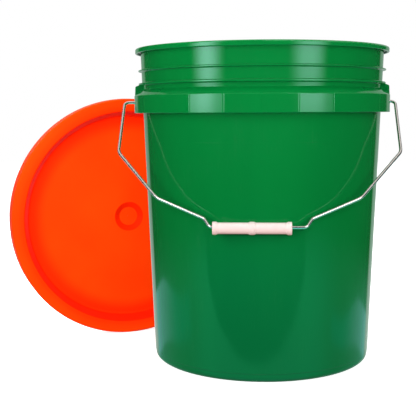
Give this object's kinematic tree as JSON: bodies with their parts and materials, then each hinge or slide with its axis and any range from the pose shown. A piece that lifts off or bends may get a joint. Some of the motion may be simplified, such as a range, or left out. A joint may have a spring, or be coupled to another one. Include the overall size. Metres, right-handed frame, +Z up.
{
  "type": "plastic fermenting bucket",
  "caption": "Round tapered plastic pail with a ribbed neck and skirt, a swinging wire bail with a roller grip, and a separate press-on lid that leans against it.",
  "frame": {"origin": "on the bucket's axis, at the level of the table under its foot ring", "axes": "+Z up along the bucket's axis; the bail's pivots lie on the X axis line; -Y is the side on which the bail hangs; the lid leans behind, on the -X +Y side"},
  "size_m": [0.484, 0.3186, 0.369],
  "materials": {
    "bucket_plastic": "moulded green polyethylene, glossy",
    "zinc_wire": "bright zinc plating",
    "grip_plastic": "moulded white polypropylene, satin",
    "lid_plastic": "moulded orange polyethylene, satin",
    "seal_rubber": "soft pale seal"
  },
  "bodies": {
    "bucket": {"bucket_shell": "bucket_plastic"},
    "bail": {"bail_wire": "zinc_wire"},
    "grip": {"handle_grip": "grip_plastic"},
    "lid": {"lid_shell": "lid_plastic", "lid_gasket": "seal_rubber"}
  },
  "joints": [
    {"name": "bail_swing", "type": "hinge", "parent": "bucket", "child": "bail", "pos_m": [0, 0, 0.307], "axis": [-1, 0, 0], "range_deg": [0, 210]},
    {"name": "grip_spin", "type": "hinge", "parent": "bail", "child": "grip", "pos_m": [-0.0093, -0.14353, 0.17316], "axis": [1, 0, 0], "continuous": true},
    {"name": "lid_pull_away", "type": "slide", "parent": "bucket", "child": "lid", "axis": [-0.4067, 0.9135, 0], "range_m": [0, 0.4]}
  ]
}
